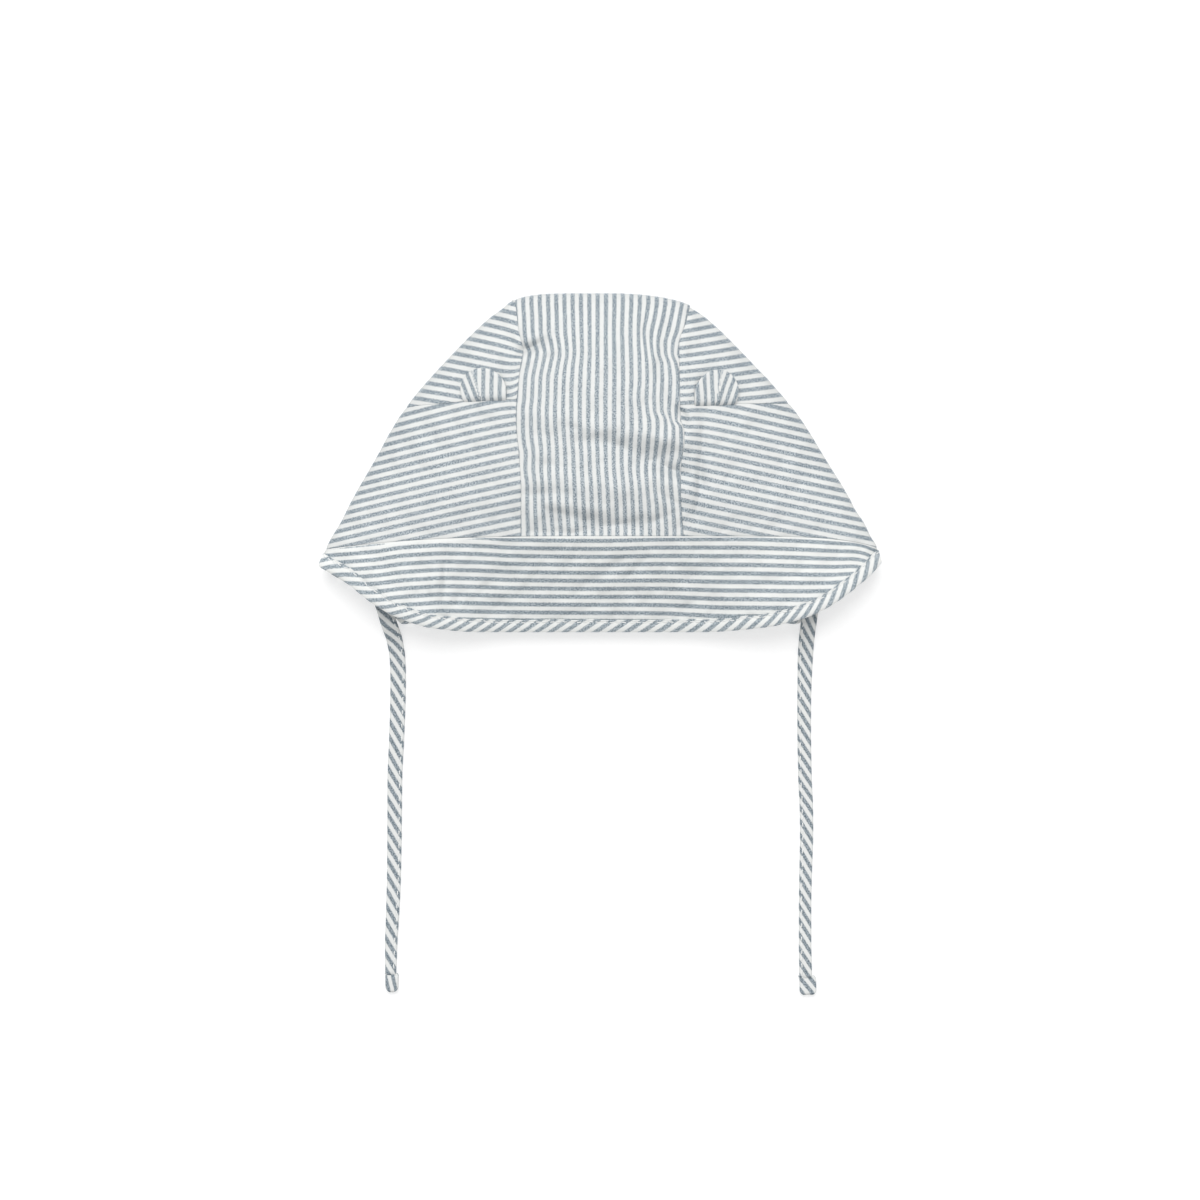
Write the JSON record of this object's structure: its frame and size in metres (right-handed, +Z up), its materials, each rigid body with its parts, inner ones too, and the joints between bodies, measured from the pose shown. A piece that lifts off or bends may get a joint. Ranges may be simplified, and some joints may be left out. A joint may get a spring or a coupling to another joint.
{
  "type": "sun hat",
  "caption": "Baby's striped cotton sun hat with a front brim, a neck flap, round ears and tie cords, laid flat with its brim up.",
  "frame": {"origin": "on the surface that the hat lies on, under the middle of its outline without the two ties", "axes": "+Y towards the top of the crown, +X towards the hat's right as seen from above, +Z up through the front of the crown"},
  "size_m": [0.2582, 0.3253, 0.0296],
  "materials": {
    "striped_cotton": "matt crinkled cotton, woven in fine blue-grey and white stripes",
    "bias_tape": "the same striped cotton cut on the bias, edge-stitched"
  },
  "bodies": {
    "root": {"crown_centre_panel": "striped_cotton", "side_upper_left": "striped_cotton", "side_upper_right": "striped_cotton", "side_lower_left": "striped_cotton", "side_lower_right": "striped_cotton", "front_brim": "striped_cotton", "neck_flap": "striped_cotton", "edge_binding": "bias_tape", "ear_left": "striped_cotton", "ear_right": "striped_cotton", "tie_left": "bias_tape", "tie_right": "bias_tape", "tie_end_left": "bias_tape", "tie_end_right": "bias_tape"}
  },
  "joints": []
}
